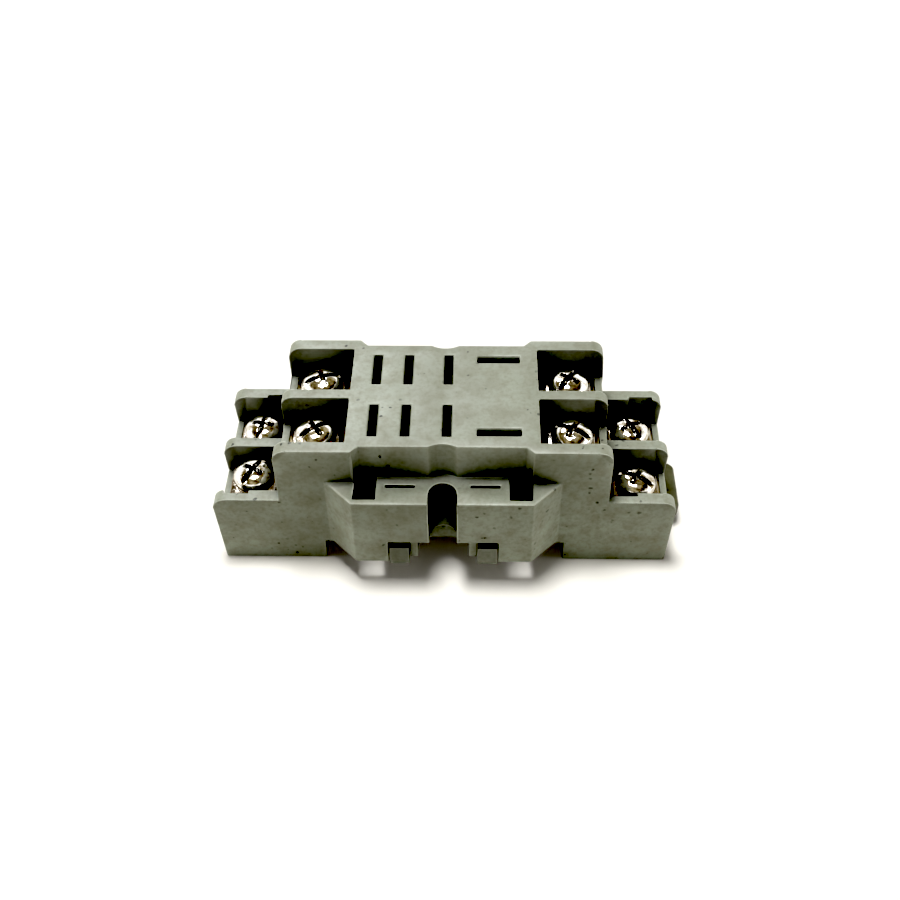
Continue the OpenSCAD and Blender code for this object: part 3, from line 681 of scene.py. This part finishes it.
dress(rounded_copy("housing", HOUSING_ROUND), "housing_plastic")
dress(rounded_copy("bottom_cover", COVER_ROUND), "cover_plastic")
dress(rounded_copy("din_latch", LATCH_ROUND, 3), "latch_plastic")
helix = helix_tree()
for n in range(1, 9):
    dress(rounded_copy(f"terminal_strip_{n}", STRIP_ROUND), "terminal_brass")
    dress(rounded_copy(f"clamp_washer_{n}", CLAMP_ROUND), "clamp_steel")
    dress(terminal_screw(n, helix), "screw_steel")
    clip = frame["nodes"][f"contact_clip_{n}"]
    clip.data.materials.clear()
    clip.data.materials.append(MATERIALS["clip_bronze"])
dress(latch_spring(helix), "spring_steel")


# ---------------------------------------------------------------- studio


def studio_floor():
    """A wide white sheet just under the feet."""
    mesh = bpy.data.meshes.new("floor")
    half = 3.0
    z = -0.02 * MM
    corners = [(-half, -half, z), (half, -half, z), (half, half, z), (-half, half, z)]
    mesh.from_pydata(corners, [], [(0, 1, 2, 3)])
    floor = link_piece("floor", mesh)
    mesh.materials.append(white_paper())


def area_light(name, place, aim, size, power, colour="#ffffff", gloss_only=False):
    """A soft box. With gloss_only it is seen in reflections and lights nothing."""
    data = bpy.data.lights.new(name, "AREA")
    data.shape = "RECTANGLE"
    data.size, data.size_y = size
    data.energy = power
    data.color = linear(colour)[:3]
    lamp = bpy.data.objects.new(name, data)
    bpy.context.scene.collection.objects.link(lamp)
    lamp.location = place
    lamp.visible_diffuse = not gloss_only
    lamp.rotation_euler = (Vector(aim) - Vector(place)).to_track_quat("-Z", "Y").to_euler()


def camera():
    """Looks down at the front at 46.7 degrees, turned 1.9 degrees, with a 42.2 degree field."""
    angles = (CAMERA_AZIMUTH, CAMERA_ELEVATION, CAMERA_ROLL)
    azimuth, elevation, roll = (math.radians(a) for a in angles)
    level = math.cos(elevation)
    forward = Vector((-math.sin(azimuth) * level, math.cos(azimuth) * level, -math.sin(elevation)))
    right = Vector((math.cos(azimuth), math.sin(azimuth), 0))
    up = right.cross(forward)
    right, up = (
        math.cos(roll) * right + math.sin(roll) * up,
        -math.sin(roll) * right + math.cos(roll) * up,
    )
    data = bpy.data.cameras.new("camera")
    data.angle = math.radians(CAMERA_FIELD)
    data.clip_start = 0.005
    lens = bpy.data.objects.new("camera", data)
    bpy.context.scene.collection.objects.link(lens)
    turn = Matrix((right, up, -forward)).transposed().to_4x4()
    lens.matrix_world = Matrix.Translation(Vector(CAMERA_PLACE) * MM) @ turn
    bpy.context.scene.camera = lens


def surroundings():
    """White paper that curls up to the horizon all round, under a dim brown room."""
    world = bpy.data.worlds.new("studio")
    bpy.context.scene.world = world
    world.use_nodes = True
    tree = world.node_tree
    tree.nodes.clear()
    direction = add(tree, "ShaderNodeTexCoord").outputs["Generated"]
    height = add(tree, "ShaderNodeSeparateXYZ", {0: direction}).outputs["Z"]
    rise = add(tree, "ShaderNodeMapRange", {0: height, 1: 0.03, 2: 0.16})
    sky = add(tree, "ShaderNodeMix", {0: rise.outputs[0], 6: "#f6f4ef", 7: "#1a130c"}, data_type="RGBA")
    # Only the plated steel is smooth enough to mirror the room: white card low down, brown wood above
    card = add(tree, "ShaderNodeMapRange", {0: height, 1: 0.55, 2: 0.66})
    panels = add(tree, "ShaderNodeTexNoise", {"Vector": direction, "Scale": 2.2, "Detail": 3.0})
    wood = add(tree, "ShaderNodeMapRange", {0: panels.outputs["Fac"], 1: 0.40, 2: 0.62})
    brown = add(tree, "ShaderNodeMix", {0: wood.outputs[0], 6: "#40372a", 7: "#9c937a"}, data_type="RGBA")
    mirrored = add(
        tree,
        "ShaderNodeMix",
        {0: card.outputs[0], 6: "#ffffff", 7: brown.outputs[2]},
        data_type="RGBA",
    )
    path = add(tree, "ShaderNodeLightPath")
    seen = add(
        tree,
        "ShaderNodeMix",
        {0: path.outputs["Is Glossy Ray"], 6: sky.outputs[2], 7: mirrored.outputs[2]},
        data_type="RGBA",
    )
    power = add(tree, "ShaderNodeMapRange", {0: path.outputs["Is Glossy Ray"], 3: 1.0, 4: 1.5})
    glow = add(tree, "ShaderNodeBackground", {"Color": seen.outputs[2], "Strength": power.outputs[0]})
    add(tree, "ShaderNodeOutputWorld", {"Surface": glow.outputs[0]})


studio_floor()
camera()
surroundings()
area_light("overhead", (-0.05, 0.04, 0.60), (0, 0, 0), (0.16, 0.16), 4.3)
area_light("sheen", (-0.15, 0.38, 0.46), (0, 0, 0.02), (0.16, 0.10), 1.5, "#f4f6ff", gloss_only=True)
for side in (-1, 1):
    area_light("side", (side * 0.40, -0.02, 0.12), (0, 0, 0.01), (0.20, 0.10), 0.55)
view = bpy.context.scene.view_settings
view.view_transform = "Standard"
view.look = "None"
view.exposure = 0.0
view.use_curve_mapping = True
view.curve_mapping.black_level = (0.09, 0.09, 0.088)
view.curve_mapping.white_level = (0.95, 0.95, 0.95)
view.curve_mapping.update()
